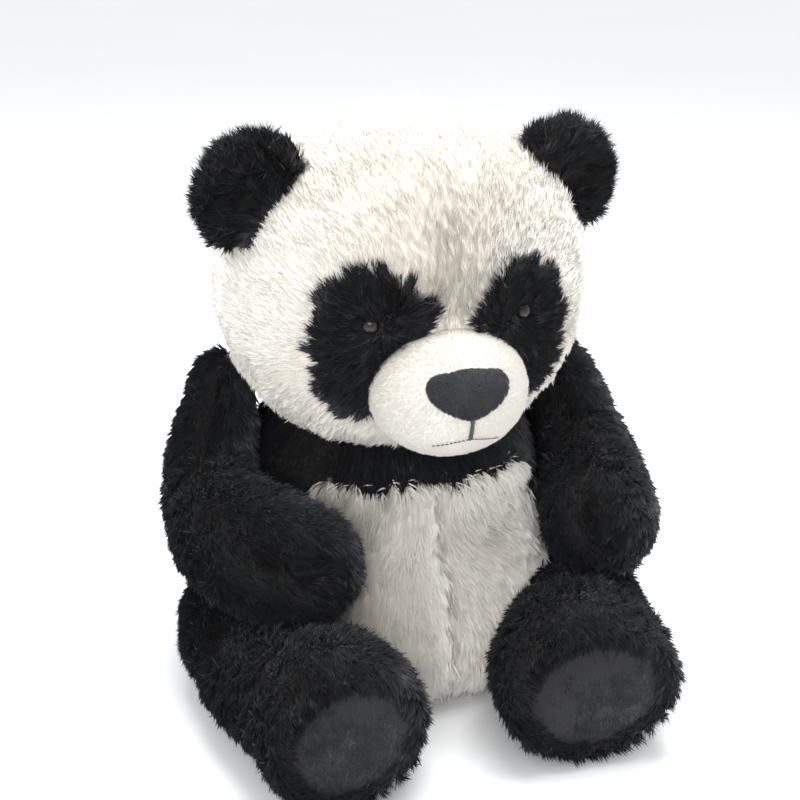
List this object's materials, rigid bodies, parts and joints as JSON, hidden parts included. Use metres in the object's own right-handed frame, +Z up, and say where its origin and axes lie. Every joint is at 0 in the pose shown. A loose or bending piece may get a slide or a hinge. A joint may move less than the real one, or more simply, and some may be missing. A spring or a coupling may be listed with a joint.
{
  "type": "plush panda",
  "caption": "Seated plush panda with sewn fur covers over stuffing; the head turns and nods, and the arms, legs, ears and tail move.",
  "frame": {"origin": "middle of the flat seat underneath the body, on the surface it sits on", "axes": "+Z up, -Y the way the panda faces, +X towards the panda's own left side"},
  "size_m": [0.2883, 0.3109, 0.336],
  "materials": {
    "black_fur": "long-pile plush, black with bluish grey tips",
    "white_fur": "long-pile plush, warm white",
    "white_velour": "short-pile velour, white",
    "nose_fleece": "curled fleece, black",
    "sole_velour": "short-pile velour, black",
    "black_thread": "embroidery thread, black",
    "eye_plastic": "polished, very dark brown",
    "washer_plastic": "moulded, natural white",
    "polyester_stuffing": "loose polyester fibre, white",
    "pouch_cloth": "plain woven cloth, pale grey",
    "label_tape": "satin tape, blank white"
  },
  "bodies": {
    "torso": {"seat_panel": "white_fur", "belly_panel_left": "white_fur", "belly_panel_right": "white_fur", "back_panel_left": "white_fur", "back_panel_right": "white_fur", "chest_yoke": "black_fur", "shoulder_yoke": "black_fur", "torso_stuffing": "polyester_stuffing", "pellet_pouch": "pouch_cloth", "care_label": "label_tape"},
    "neck": {"neck_stuffing": "polyester_stuffing"},
    "head": {"head_front_panel": "white_fur", "head_back_panel": "white_fur", "head_stuffing": "polyester_stuffing", "eye_patch_left": "black_fur", "eye_patch_right": "black_fur", "eye_left": "eye_plastic", "eye_right": "eye_plastic", "eye_washer_left": "washer_plastic", "eye_washer_right": "washer_plastic", "muzzle_cover": "white_velour", "muzzle_stuffing": "polyester_stuffing", "nose": "nose_fleece", "mouth_thread": "black_thread"},
    "ear_left": {"ear_front_panel_left": "black_fur", "ear_back_panel_left": "black_fur"},
    "ear_right": {"ear_front_panel_right": "black_fur", "ear_back_panel_right": "black_fur"},
    "arm_left": {"arm_cover_left": "black_fur", "arm_stuffing_left": "polyester_stuffing"},
    "arm_right": {"arm_cover_right": "black_fur", "arm_stuffing_right": "polyester_stuffing"},
    "leg_left": {"leg_cover_left": "black_fur", "leg_stuffing_left": "polyester_stuffing", "foot_sole_left": "sole_velour"},
    "leg_right": {"leg_cover_right": "black_fur", "leg_stuffing_right": "polyester_stuffing", "foot_sole_right": "sole_velour"},
    "tail": {"tail": "white_fur"}
  },
  "joints": [
    {"name": "neck_turn", "type": "hinge", "parent": "torso", "child": "neck", "pos_m": [0, -0.012, 0.12], "axis": [0, 0, 1], "range_deg": [-20, 20], "stiffness_Nm_per_rad": 0.8},
    {"name": "neck_nod", "type": "hinge", "parent": "neck", "child": "head", "pos_m": [0, -0.012, 0.15], "axis": [1, 0, 0], "range_deg": [-5, 5], "stiffness_Nm_per_rad": 2.5, "springref_deg": -0.57},
    {"name": "shoulder_left", "type": "hinge", "parent": "torso", "child": "arm_left", "pos_m": [0.097, 0, 0.146], "axis": [-1, 0, 0], "range_deg": [0, 20]},
    {"name": "shoulder_right", "type": "hinge", "parent": "torso", "child": "arm_right", "pos_m": [-0.097, 0, 0.146], "axis": [-1, 0, 0], "range_deg": [0, 15]},
    {"name": "hip_left", "type": "hinge", "parent": "torso", "child": "leg_left", "pos_m": [0.078, 0.036, 0.031], "axis": [0, 0, 1], "range_deg": [0, 20], "stiffness_Nm_per_rad": 0.3},
    {"name": "hip_right", "type": "hinge", "parent": "torso", "child": "leg_right", "pos_m": [-0.078, 0.036, 0.031], "axis": [0, 0, -1], "range_deg": [0, 20], "stiffness_Nm_per_rad": 0.3},
    {"name": "ear_flex_left", "type": "hinge", "parent": "head", "child": "ear_left", "pos_m": [0.087, -0.05, 0.297], "axis": [-0.7071, 0, 0.7071], "range_deg": [-12, 12], "stiffness_Nm_per_rad": 0.02},
    {"name": "ear_flex_right", "type": "hinge", "parent": "head", "child": "ear_right", "pos_m": [-0.09, -0.054, 0.2985], "axis": [-0.7071, 0, -0.7071], "range_deg": [-12, 12], "stiffness_Nm_per_rad": 0.02},
    {"name": "tail_flex", "type": "hinge", "parent": "torso", "child": "tail", "pos_m": [0, 0.094, 0.04], "axis": [1, 0, 0], "range_deg": [-10, 10], "stiffness_Nm_per_rad": 0.02}
  ]
}
